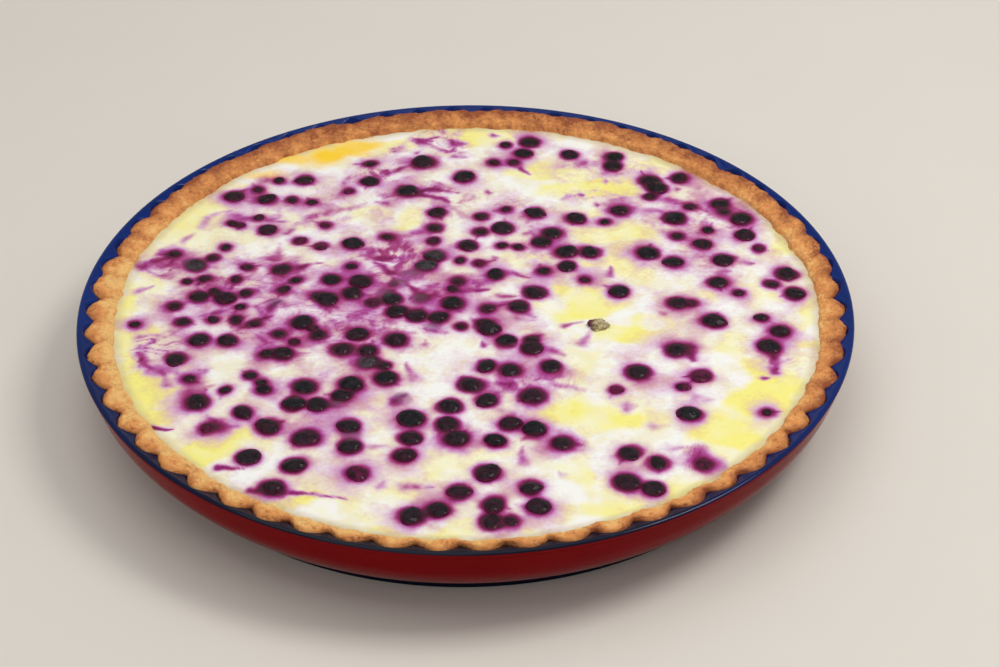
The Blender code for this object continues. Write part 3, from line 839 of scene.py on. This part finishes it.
def pastry_finish(looks):
    finish = Finish("baked_pastry", specular_ior_level=0.35)
    baked = finish.attribute("baked") + finish.speckle(2.4, detail=5, roughness=0.7) * 0.7 - 0.35
    dark = scaled(looks.brown, 0.55)
    tan = tuple(lerp(golden, brown, 0.6) for golden, brown in zip(looks.golden, looks.brown))
    base = finish.ramp(baked, ((0.0, looks.pale), (0.38, looks.golden), (0.78, tan), (1.0, looks.brown)))
    specks = finish.step(finish.speckle(0.75, detail=2), 0.66, 0.74)
    base = finish.mix(specks * 0.55, base, dark)
    # Painted shade darkens the pastry's hollows.
    base = finish.mix(finish.attribute("shelter") * 0.35, base, dark)
    flour = finish.step(finish.speckle(1.1, detail=3), 0.6, 0.72)
    base = finish.mix(flour * 0.3, base, srgb(248, 222, 170))
    fine = finish.bump(finish.speckle(0.6, detail=4, roughness=0.75), 0.4)
    roughness = finish.speckle(2.0) * 0.3 + 0.5
    return finish.paint(base_color=base, roughness=roughness, normal=fine)


def disc_points(cells):
    """A square grid of points turned into an even disc of radius 1."""
    line = np.linspace(-1, 1, cells + 1)
    u, v = (grid.ravel() for grid in np.meshgrid(line, line, indexing="ij"))
    wide = np.abs(u) > np.abs(v)
    radius = np.where(wide, u, v)
    safe = np.where(radius == 0, 1, radius)
    turn = np.where(wide, math.pi / 4 * v / safe, math.pi / 2 - math.pi / 4 * u / safe)
    return radius * np.cos(turn), radius * np.sin(turn)


def disc_faces(cells):
    side = cells + 1
    corner = (np.arange(cells)[:, None] * side + np.arange(cells)[None, :]).ravel()
    return np.stack([corner, corner + side, corner + side + 1, corner + 1], axis=1).tolist()


def disc_border(cells):
    """The grid's outer points in order, against the clock seen from above."""
    side = cells + 1
    grid = np.arange(side * side).reshape(side, side)
    return np.concatenate([grid[:-1, 0], grid[-1, :-1], grid[:0:-1, -1], grid[0, :0:-1]])


def near_any(x, y, spots, reach):
    return any(math.hypot(x - spot[0], y - spot[1]) < reach for spot in spots)


def loose_berries():
    """Place and half size of each berry that is a piece of its own, from the model."""
    berries = []
    for name in sorted(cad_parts):
        if name.startswith("berry_"):
            low, high = (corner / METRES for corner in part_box(name))
            middle = (low + high) / 2
            half = (high - low) / 2
            berries.append((middle.x, middle.y, middle.z, LOOSE_GIRTH * (half.x + half.y) / 2, half.z, name))
    return berries


def sunken_berries(loose):
    """Place and half size of each berry that is fused to the custard, and of the small ones."""
    berries = []
    groups = ((BERRY_SPOTS, SUNKEN_RISE, SUNKEN_GIRTH), (SMALL_SPOTS, SMALL_RISE, SMALL_GIRTH))
    for group, rise, girth in groups:
        for width, spots in group.items():
            for x, y in spots:
                if near_any(x, y, loose, SAME_BERRY) and group is BERRY_SPOTS:
                    continue
                half = width * BERRY_SPREAD / 2
                limit = float(inner_edge(np.array([math.atan2(y, x)]))[0]) - KNEE_INSET - 1 - half
                reach = math.hypot(x, y)
                if reach > limit:
                    x, y = x * limit / reach, y * limit / reach
                half_height = half * BERRY_FLATNESS
                z = custard_level(x, y) + rise - half_height
                berries.append((x, y, z, girth * half, half_height, ""))
    return berries


def waterline_radius(berry):
    """How wide a berry is where it comes out of the custard."""
    x, y, z, half, half_height, _ = berry
    depth = min(abs(custard_level(x, y) - z) / half_height, 0.95)
    return half * math.sqrt(1 - depth ** 2)


def unit_ball(columns, rows):
    """Points of a ball of radius 1, column by column, and its two poles."""
    around, down = np.meshgrid(every_angle(columns), np.linspace(0, math.pi, rows + 2)[1:-1], indexing="ij")
    ball = np.stack([np.sin(down) * np.cos(around), np.sin(down) * np.sin(around), np.cos(down)], axis=-1)
    return np.vstack([ball.reshape(-1, 3), [(0, 0, 1), (0, 0, -1)]])


def angle_from(ball, lean, turn):
    """Angle of each point from an axis with that lean and that turn."""
    axis = np.array([math.sin(lean) * math.cos(turn), math.sin(lean) * math.sin(turn), math.cos(lean)])
    return np.arccos(np.clip(ball @ axis, -1, 1))


def berry_cap(half, half_height, wrinkle, rng):
    """Points of one uneven berry round its own middle, and how steeply up each point faces."""
    ball = unit_ball(BERRY_COLUMNS, BERRY_ROWS)
    seed = rng.uniform(0, 90)
    creases = np.clip(1 - np.abs(rough_field(ball, 0.55, seed, 2)) / 0.16, 0, 1)
    size = 1 + 0.2 * rough_field(ball, 1.3, seed + 5) + 0.06 * rough_field(ball, 0.6, seed + 9)
    size = size - wrinkle * creases
    for _ in range(rng.choice((1, 2, 2, 3))):
        off_axis = angle_from(ball, rng.uniform(0.1, 1.0), rng.uniform(0, 2 * math.pi))
        size = size - rng.uniform(0.03, 0.08) * np.exp(-(off_axis / rng.uniform(0.35, 0.7)) ** 2)
    if rng.random() < CROWN_CHANCE:
        off_axis = angle_from(ball, rng.uniform(0, 0.5), rng.uniform(0, 2 * math.pi))
        size = size + 0.06 * np.exp(-((off_axis - 0.36) / 0.1) ** 2) - 0.1 * np.exp(-(off_axis / 0.24) ** 2)
    squash = rng.uniform(0.78, 1.04)
    flat_top = 1 - 0.07 * np.clip(ball[:, 2], 0, 1) ** 3
    shape = ball * size[:, None] * (half * rng.uniform(1.05, 1.15), half * squash, half_height)
    turn = rng.uniform(0, math.pi)
    x = math.cos(turn) * shape[:, 0] - math.sin(turn) * shape[:, 1]
    y = math.sin(turn) * shape[:, 0] + math.cos(turn) * shape[:, 1]
    return np.stack([x, y, shape[:, 2] * flat_top], axis=1), ball[:, 2]


def custard_film(points):
    """How much a grey film of custard covers each point, thickest on a veiled berry's nearer side."""
    film = np.zeros(len(points))
    for x, y, width in VEILED_SPOTS:
        away = np.hypot(points[:, 0] - x, points[:, 1] - y) / width
        side = smoothstep(-0.35, 0.25, (y - points[:, 1]) / width + 0.3 * rough_field(points, 3, x, 3))
        film = np.maximum(film, (1 - smoothstep(0.45, 0.75, away)) * (0.05 + 0.55 * side))
    return film


def make_berries(name, berries, nodes, looks, seed):
    rng = random.Random(seed)
    points, faces, magenta, wet = [], [], [], []
    per_berry = BERRY_COLUMNS * BERRY_ROWS + 2
    for number, (x, y, z, half, half_height, _) in enumerate(berries):
        cap, steepness = berry_cap(half, half_height, looks.wrinkle, rng)
        points.append(cap + (x, y, z))
        waterline = (custard_level(x, y) - z) / half_height
        wet.append(1 - smoothstep(waterline + WET_FROM, waterline + WET_TO, steepness))
        faces += ring_faces(BERRY_COLUMNS, BERRY_ROWS, start=number * per_berry)
        if near_any(x, y, MAGENTA_SPOTS, SAME_BERRY):
            redness = rng.uniform(0.7, 1.0)
        else:
            smallness = min(max((DARK_HALF - half) / RED_RANGE, 0), 1)
            redness = rng.uniform(0, 0.2) + 0.45 * smallness * rng.random()
        magenta += [redness] * per_berry
    points = np.vstack(points)
    piece = new_piece(name, points, faces, nodes, [berry_finish(looks, name)])
    store(piece, "wet", np.concatenate(wet))
    store(piece, "magenta", magenta)
    store(piece, "film", custard_film(points))


def berry_finish(looks, name):
    finish = Finish(name + "_skin", coat_weight=0.1, coat_roughness=0.05, specular_ior_level=0.1)
    bloom = finish.step(finish.speckle(1.6, detail=4, roughness=0.6), 0.36, 0.66)
    base = finish.mix(bloom, looks.skin, looks.bloom)
    magenta = finish.attribute("magenta")
    wet = (finish.attribute("wet") + finish.speckle(1.6, detail=4) * 0.8 - 0.46).clamped()
    magenta = magenta * finish.step(finish.speckle(2.2, detail=4), 0.3, 0.65)
    base = finish.mix(magenta, base, scaled(looks.wine, 1.2))
    base = finish.mix(wet, base, looks.wine)
    film = finish.attribute("film") * finish.step(finish.speckle(1.8, detail=4), 0.25, 0.6)
    base = finish.mix(film, base, looks.film)
    creases = finish.bump(finish.speckle(1.1, detail=4, roughness=0.6, distortion=0.8), 0.7)
    roughness = bloom * 0.3 + 0.32 - wet * 0.1
    return finish.paint(base_color=base, roughness=roughness, normal=creases)


def patches(x, y, spots, softness):
    """The strongest of several soft oval patches at each point, from 0 to 1."""
    level = np.zeros_like(x)
    for px, py, half_x, half_y, strength in spots:
        away = np.hypot((x - px) / half_x, (y - py) / half_y)
        level = np.maximum(level, strength * (1 - smoothstep(1 - softness, 1 + softness, away)))
    return level


def juice_tail(berry, edge, rng):
    """A short run of juice out of one berry, as a streak."""
    turn = rng.uniform(0, 2 * math.pi)
    run = edge + rng.uniform(0.8, 4.2)
    width = rng.uniform(0.25, 0.5) * edge
    ends = (0.5 * edge, run)
    start, end = ((berry[0] + reach * math.cos(turn), berry[1] + reach * math.sin(turn)) for reach in ends)
    return (*start, *end, width, rng.uniform(0.35, 0.68))


def streaks(x, y, runs):
    """Strength of the juice streaks at each point."""
    clear = np.ones_like(x)
    for x0, y0, x1, y1, width, strength in runs:
        run = np.array([x1 - x0, y1 - y0], float)
        along = np.clip(((x - x0) * run[0] + (y - y0) * run[1]) / (run @ run), 0, 1)
        away = np.hypot(x - x0 - along * run[0], y - y0 - along * run[1])
        taper = width * (1.1 - 0.75 * along)
        clear = clear * (1 - strength * (1 - 0.3 * along) * np.exp(-(away / taper) ** 2))
    return 1 - clear


def bend_lines(x, y, bend, amount):
    """Points moved by a share of the custard's wavy bend."""
    return x + amount * bend[0], y + amount * bend[1]


def beside_berries(x, y, bend, clouds, berries):
    """Share of each point that is clear of the berries' juice, its lift, its dip, and short runs of juice."""
    stained = np.zeros_like(x)
    lift = np.zeros_like(x)
    dip = np.zeros_like(x)
    tails = []
    rng = random.Random(SEED)
    bent_x, bent_y = bend_lines(x, y, bend, 0.45)
    for berry in berries:
        edge = waterline_radius(berry)
        near = np.hypot(x - berry[0], y - berry[1]) - edge
        bent = np.hypot(bent_x - berry[0], bent_y - berry[1]) - edge
        spread = rng.uniform(2.0, 3.8) * (1 + 0.45 * np.clip(4 * clouds, -0.8, 1.6))
        from_core = np.clip(lerp(near, bent, 0.35) + 1.1, 0, None)
        ring = rng.uniform(0.42, 0.58) * np.exp(-(from_core / rng.uniform(1.5, 2.0)) ** 1.7)
        halo = rng.uniform(0.4, 0.6) * np.exp(-np.clip(bent, 0, None) / spread) + ring
        stained += np.clip(halo, 0, DEEPEST_STAIN) ** STAIN_OVERLAP
        if rng.random() < TAIL_CHANCE:
            tails.append(juice_tail(berry, edge, rng))
        lift = np.maximum(lift, 0.15 * np.exp(-(np.clip(near, 0, None) / 1.3) ** 1.5))
        dip = np.maximum(dip, np.clip(-near - 0.3 * edge, 0, 1.5))
    return 1 - np.clip(stained ** (1 / STAIN_OVERLAP), 0, 0.96), lift, BERRY_DIP * dip, tails


def cover_berries(x, y, bend, clear, lift):
    """Film of custard over the veiled berries, with the juice and the lift that go with it."""
    veil = np.zeros_like(x)
    bent_x, bent_y = bend_lines(x, y, bend, 0.4)
    for middle_x, middle_y, width in VEILED_SPOTS:
        away = np.hypot(bent_x - middle_x, bent_y - middle_y) - width / 2
        covered = smoothstep(-0.8, 0.6, (middle_y - y) / width)
        veil = np.maximum(veil, (1 - smoothstep(-1.8, 1.2, away)) * (0.85 - 0.5 * covered))
        lift = np.maximum(lift, 0.45 * (1 - smoothstep(-width / 2, 1.5, away)))
        clear = clear * (1 - 0.3 * np.exp(-np.clip(away, 0, None) / 1.5))
    return veil, clear, lift


def juice_runs(x, y, bend, swirl, tails):
    """Strength of the hazes, the streaks and the short runs of juice together."""
    fibres = rough_field(np.stack([x, y, 0 * x], axis=1), 5, 7, 3)
    along = np.stack([0.45 * swirl[0], 1.3 * swirl[1], 0 * x], axis=1)
    wisps = np.exp(-(rough_field(along, 7, 12, 5) / 0.09) ** 2)
    threads = np.exp(-(rough_field(along, 3.2, 14, 4) / 0.07) ** 2)
    bent = np.stack([*bend_lines(x, y, bend, 1), 0 * x], axis=1)
    clots = smoothstep(0.0, 0.45, rough_field(bent, 8, 13, 4))
    haze = patches(*swirl, HAZES, 0.85) * (0.18 + 0.6 * wisps + 0.25 * threads + 0.95 * clots)
    streaked = streaks(*bend_lines(x, y, bend, 0.6), STREAKS) * np.clip(1.05 + 0.9 * fibres, 0, 1.3)
    smeared = streaks(*bend_lines(x, y, bend, 0.4), tails) * np.clip(0.9 + 1.2 * fibres, 0, 1.3)
    clear = (1 - np.clip(haze, 0, 0.6)) * (1 - np.clip(streaked, 0, 0.74)) * (1 - np.clip(smeared, 0, 0.7))
    return np.clip(1 - clear, 0, 0.76)


def close_custard(top, table):
    """Points and faces of the custard, from its top down inside the pastry to its base."""
    border = disc_border(CUSTARD_CELLS)
    corner = np.arctan2(top[border, 1], top[border, 0])
    wall_edge = inner_edge(table) - KNEE_INSET - CUSTARD_WALL_GAP
    wall = np.interp(corner, table, wall_edge, period=2 * math.pi)
    floor = np.full_like(wall, PASTRY_FLOOR_RADIUS - CUSTARD_BASE_GAP)
    layers = [top]
    for radius, height in ((wall, KNEE_HEIGHT), (floor, CUSTARD_BOTTOM)):
        ring = [radius * np.cos(corner), radius * np.sin(corner), np.full_like(wall, height)]
        layers.append(np.stack(ring, axis=1))
    faces = disc_faces(CUSTARD_CELLS)
    count, start = len(border), len(top)
    for i in range(count):
        j = (i + 1) % count
        faces.append((int(border[j]), int(border[i]), start + i, start + j))
        faces.append((start + j, start + i, start + count + i, start + count + j))
        faces.append((start + count + j, start + count + i, start + 2 * count))
    return np.vstack([*layers, [(0, 0, CUSTARD_BOTTOM)]]), faces


def make_custard(looks, berries):
    x_disc, y_disc = disc_points(CUSTARD_CELLS)
    table = every_angle(EDGE_STEPS)
    edge = custard_edge(table) + CUSTARD_INTO_PASTRY
    reach = np.interp(np.arctan2(y_disc, x_disc), table, edge, period=2 * math.pi)
    x, y = x_disc * reach, y_disc * reach
    flat = np.stack([x, y, np.zeros_like(x)], axis=1)
    bend = [rough_field(flat, 9, seed) * 3.2 + rough_field(flat, 2.6, seed + 1) * 0.7 for seed in (1, 3)]
    bent_x, bent_y = bend_lines(x, y, bend, 2.2)
    swirl = (bent_x + rough_field(flat, 26, 5) * 14, bent_y + rough_field(flat, 26, 6) * 9)
    clouds = rough_field(flat, 14, 8, 4)
    clear, lift, dip, tails = beside_berries(x, y, bend, clouds, berries)
    veil, clear, lift = cover_berries(x, y, bend, clear, lift)
    rim = np.clip(1 - (reach * (1 - np.hypot(x_disc, y_disc)) - 1) / RIM_WIDTH, 0, 1)
    height = custard_level(x, y) + 0.22 * rough_field(flat, 22, 9, 2) + 0.07 * rough_field(flat, 4, 10, 2)
    height = height + RIM_RISE * rim ** 2 + lift - dip
    top = np.stack([x, y, height], axis=1)
    points, faces = close_custard(top, table)
    piece = new_piece("custard", points, faces, ["filling"], [custard_finish(looks)])
    fields = {
        "juice": 1 - clear * (1 - juice_runs(x, y, bend, swirl, tails)),
        "yellow": patches(*swirl, YELLOW_PATCHES, 0.35) * np.clip(1.15 + 0.8 * clouds, 0.3, 1.3),
        "orange": patches(*bend_lines(x, y, bend, 1), ORANGE_PATCHES, 0.5),
        "veil": veil,
        "rim": rim,
    }
    for name, values in fields.items():
        store(piece, name, np.append(values, np.zeros(len(points) - len(top))))


# Tint that each amount of juice gives the custard
STAIN_TINTS = (
    (0.03, (1, 1, 1)), (0.14, srgb(243, 228, 240)), (0.32, srgb(220, 168, 212)),
    (0.52, srgb(184, 78, 162)), (0.7, srgb(150, 22, 112)), (0.86, srgb(98, 6, 58)), (1.0, srgb(46, 3, 30)),
)


def custard_finish(looks):
    """Custard, cream to white, with yellow patches, stains of juice and a browned edge."""
    depth = {"subsurface_weight": 0.12, "subsurface_scale": 0.004}
    finish = Finish("baked_custard", coat_roughness=0.12, specular_ior_level=0.3, **depth)
    base = finish.mix(finish.step(finish.speckle(8, detail=4), 0.38, 0.6), looks.cream, looks.white)
    juice = finish.attribute("juice") + (finish.speckle(1.6, detail=4, roughness=0.6) - 0.5) * 0.22
    yellow = (finish.attribute("yellow") * 1.05).clamped() * (1 - finish.step(juice, 0.04, 0.34))
    base = finish.mix(yellow, base, looks.yellow)
    moist = (finish.attribute("rim") ** 0.8 * (finish.speckle(5, detail=4) + 0.35)).clamped()
    base = finish.mix(moist * 0.9, base, srgb(206, 182, 132))
    base = finish.mix(finish.attribute("orange"), base, looks.orange)
    base = finish.mix(1.0, base, finish.ramp(juice, STAIN_TINTS), blend="MULTIPLY")
    base = finish.mix(finish.attribute("veil") * 0.8, base, looks.veil)
    pores = finish.bump(finish.speckle(0.8, detail=3), 0.05)
    waves = finish.bump(finish.speckle(3.5, detail=2), 0.18, below=pores)
    roughness = finish.speckle(5) * 0.16 + looks.roughness - 0.08
    coat = (1 - finish.step(juice, 0.35, 0.75)) * 0.25
    return finish.paint(base_color=base, roughness=roughness, coat_weight=coat, normal=waves)


def make_crumb(looks):
    """A few torn grains of pastry stuck together on the custard."""
    rng = random.Random(SEED + 3)
    points, faces = [], []
    per_lump = CRUMB_COLUMNS * CRUMB_ROWS + 2
    ball = unit_ball(CRUMB_COLUMNS, CRUMB_ROWS)
    for number, (right, back, half, tall) in enumerate(CRUMB_LUMPS):
        x, y = CRUMB_SPOT[0] + right, CRUMB_SPOT[1] + back
        size = 1 + 0.5 * rough_field(ball, 0.7, rng.uniform(0, 50), 3)
        size = size + 0.15 * grain_field(ball, 0.35, number)
        centre = (x, y, custard_level(x, y) + 0.35 * tall)
        points.append(ball * size[:, None] * (half, half * 0.8, tall) + centre)
        faces += ring_faces(CRUMB_COLUMNS, CRUMB_ROWS, start=number * per_lump)
    points = np.vstack(points)
    piece = new_piece("pastry_crumb", points, faces, [], [crumb_finish(looks)])
    store(piece, "stained", smoothstep(0.8, 3.2, CRUMB_SPOT[0] - points[:, 0] + rough_field(points, 2, 4, 2)))


def crumb_finish(looks):
    """Soaked, dull pastry, stained by juice at its left end."""
    finish = Finish("soaked_crumb", specular_ior_level=0.4)
    mottled = finish.step(finish.speckle(1.2, detail=4), 0.35, 0.65)
    base = finish.mix(mottled, srgb(142, 118, 66), srgb(212, 196, 158))
    base = finish.mix(finish.attribute("stained"), base, srgb(92, 10, 46))
    return finish.paint(base_color=base, roughness=mottled * 0.2 + 0.4, normal=finish.bump(mottled, 0.2))


def add_light(name, size, energy, place):
    """A rectangular soft light that faces the middle of the tart."""
    light = bpy.data.lights.new(name, "AREA")
    light.shape = "RECTANGLE"
    light.size, light.size_y = size
    light.energy = energy
    lamp = bpy.data.objects.new(name, light)
    lamp.location = place
    towards = Vector(LIGHTS_AIM) - Vector(place)
    lamp.rotation_euler = towards.to_track_quat("-Z", "Y").to_euler()
    bpy.context.scene.collection.objects.link(lamp)


def make_camera():
    camera = bpy.data.cameras.new("camera")
    camera.lens = LENS_MM
    camera.sensor_width = SENSOR_MM
    camera.sensor_fit = "HORIZONTAL"
    camera.clip_start = 0.01
    view = bpy.data.objects.new("camera", camera)
    bpy.context.scene.collection.objects.link(view)
    right = Vector((1, 0, 0))
    ahead = Vector((0, math.cos(CAMERA_ELEVATION), -math.sin(CAMERA_ELEVATION)))
    aim = Matrix((right, right.cross(ahead), -ahead))
    for axis, turn in CAMERA_TURNS:
        aim = Matrix.Rotation(turn, 3, axis) @ aim
    middle = Vector((0, 0, RIM_HEIGHT * METRES))
    place = middle - ahead * CAMERA_DISTANCE * METRES
    view.matrix_world = Matrix.Translation(place) @ aim.transposed().to_4x4()
    bpy.context.scene.camera = view


def make_floor(looks):
    line = np.linspace(-FLOOR_HALF_WIDTH, FLOOR_HALF_WIDTH, FLOOR_CELLS + 1)
    x, y = (grid.ravel() for grid in np.meshgrid(line, line, indexing="ij"))
    mesh = bpy.data.meshes.new("floor")
    mesh.from_pydata((np.stack([x, y, 0 * x], axis=1) * METRES).tolist(), [], disc_faces(FLOOR_CELLS))
    finish = Finish("pale_floor", specular_ior_level=0.3)
    base = finish.mix(finish.speckle(60, detail=4), scaled(looks.floor, 0.96), looks.floor)
    grain = finish.bump(finish.speckle(0.6, detail=3), 0.02)
    roughness = finish.speckle(20) * 0.1 + 0.45
    mesh.materials.append(finish.paint(base_color=base, roughness=roughness, normal=grain))
    floor = bpy.data.objects.new("floor", mesh)
    bpy.context.scene.collection.objects.link(floor)


class MakeStage(bpy.types.Operator):
    """Adds the pale floor, the soft studio light and the camera"""

    bl_idname = "tart.make_stage"
    bl_label = "Stage"

    def execute(self, context):
        looks = context.scene.tart.stage
        context.scene.view_settings.view_transform = "Standard"
        make_camera()
        make_floor(looks)
        world = bpy.data.worlds.new("studio")
        world.use_nodes = True
        sky = world.node_tree.nodes["Background"]
        feed(sky.inputs["Color"], SKY_TINT)
        feed(sky.inputs["Strength"], looks.brightness)
        context.scene.world = world
        add_light("key", (0.4, 0.4), 5.5, (0.6, 0.05, 1.0))
        add_light("overhead", (1.6, 1.2), 7, (-0.2, 0.1, 1.5))
        add_light("front_fill", (1.0, 0.6), 2.5, (-0.5, -1.3, 1.0))
        return {"FINISHED"}


class MakeDish(bpy.types.Operator):
    """Builds the fluted dish with its blue, red and navy glaze"""

    bl_idname = "tart.make_dish"
    bl_label = "Glazed dish"

    def execute(self, context):
        make_dish(context.scene.tart.dish)
        return {"FINISHED"}


class MakePastry(bpy.types.Operator):
    """Builds the pastry case with its teeth, grains and cracks, and the crumb on the custard"""

    bl_idname = "tart.make_pastry"
    bl_label = "Pastry"

    def execute(self, context):
        make_pastry(context.scene.tart.pastry)
        make_crumb(context.scene.tart.pastry)
        return {"FINISHED"}


class MakeCustard(bpy.types.Operator):
    """Builds the custard with its yellow patches and the juice that runs from the berries"""

    bl_idname = "tart.make_custard"
    bl_label = "Custard"

    def execute(self, context):
        loose = loose_berries()
        make_custard(context.scene.tart.custard, loose + sunken_berries(loose))
        return {"FINISHED"}


class MakeBerries(bpy.types.Operator):
    """Builds the loose berries and the ones sunk in the custard"""

    bl_idname = "tart.make_berries"
    bl_label = "Berries"

    def execute(self, context):
        looks = context.scene.tart.berries
        loose = loose_berries()
        make_berries("loose_berries", loose, [berry[-1] for berry in loose], looks, SEED + 1)
        make_berries("sunken_berries", sunken_berries(loose), [], looks, SEED + 2)
        return {"FINISHED"}


class TartPanel(bpy.types.Panel):
    """Lists the steps that build the tart"""

    bl_idname = "VIEW3D_PT_tart"
    bl_label = "Blueberry tart"
    bl_space_type = "VIEW_3D"
    bl_region_type = "UI"
    bl_category = "Tart"

    def draw(self, context):
        for operator in OPERATORS:
            self.layout.operator(operator.bl_idname)


GROUPS = (DishLooks, PastryLooks, CustardLooks, BerryLooks, StageLooks, TartSettings)
OPERATORS = (MakeStage, MakeDish, MakePastry, MakeCustard, MakeBerries)
CLASSES = (*GROUPS, *OPERATORS, TartPanel)


def register():
    for item in CLASSES:
        bpy.utils.register_class(item)
    bpy.types.Scene.tart = PointerProperty(type=TartSettings)


def unregister():
    del bpy.types.Scene.tart
    for item in reversed(CLASSES):
        bpy.utils.unregister_class(item)


def main():
    register()
    bpy.ops.tart.make_stage()
    bpy.ops.tart.make_dish()
    bpy.ops.tart.make_pastry()
    bpy.ops.tart.make_custard()
    bpy.ops.tart.make_berries()


if __name__ == "__main__":
    main()
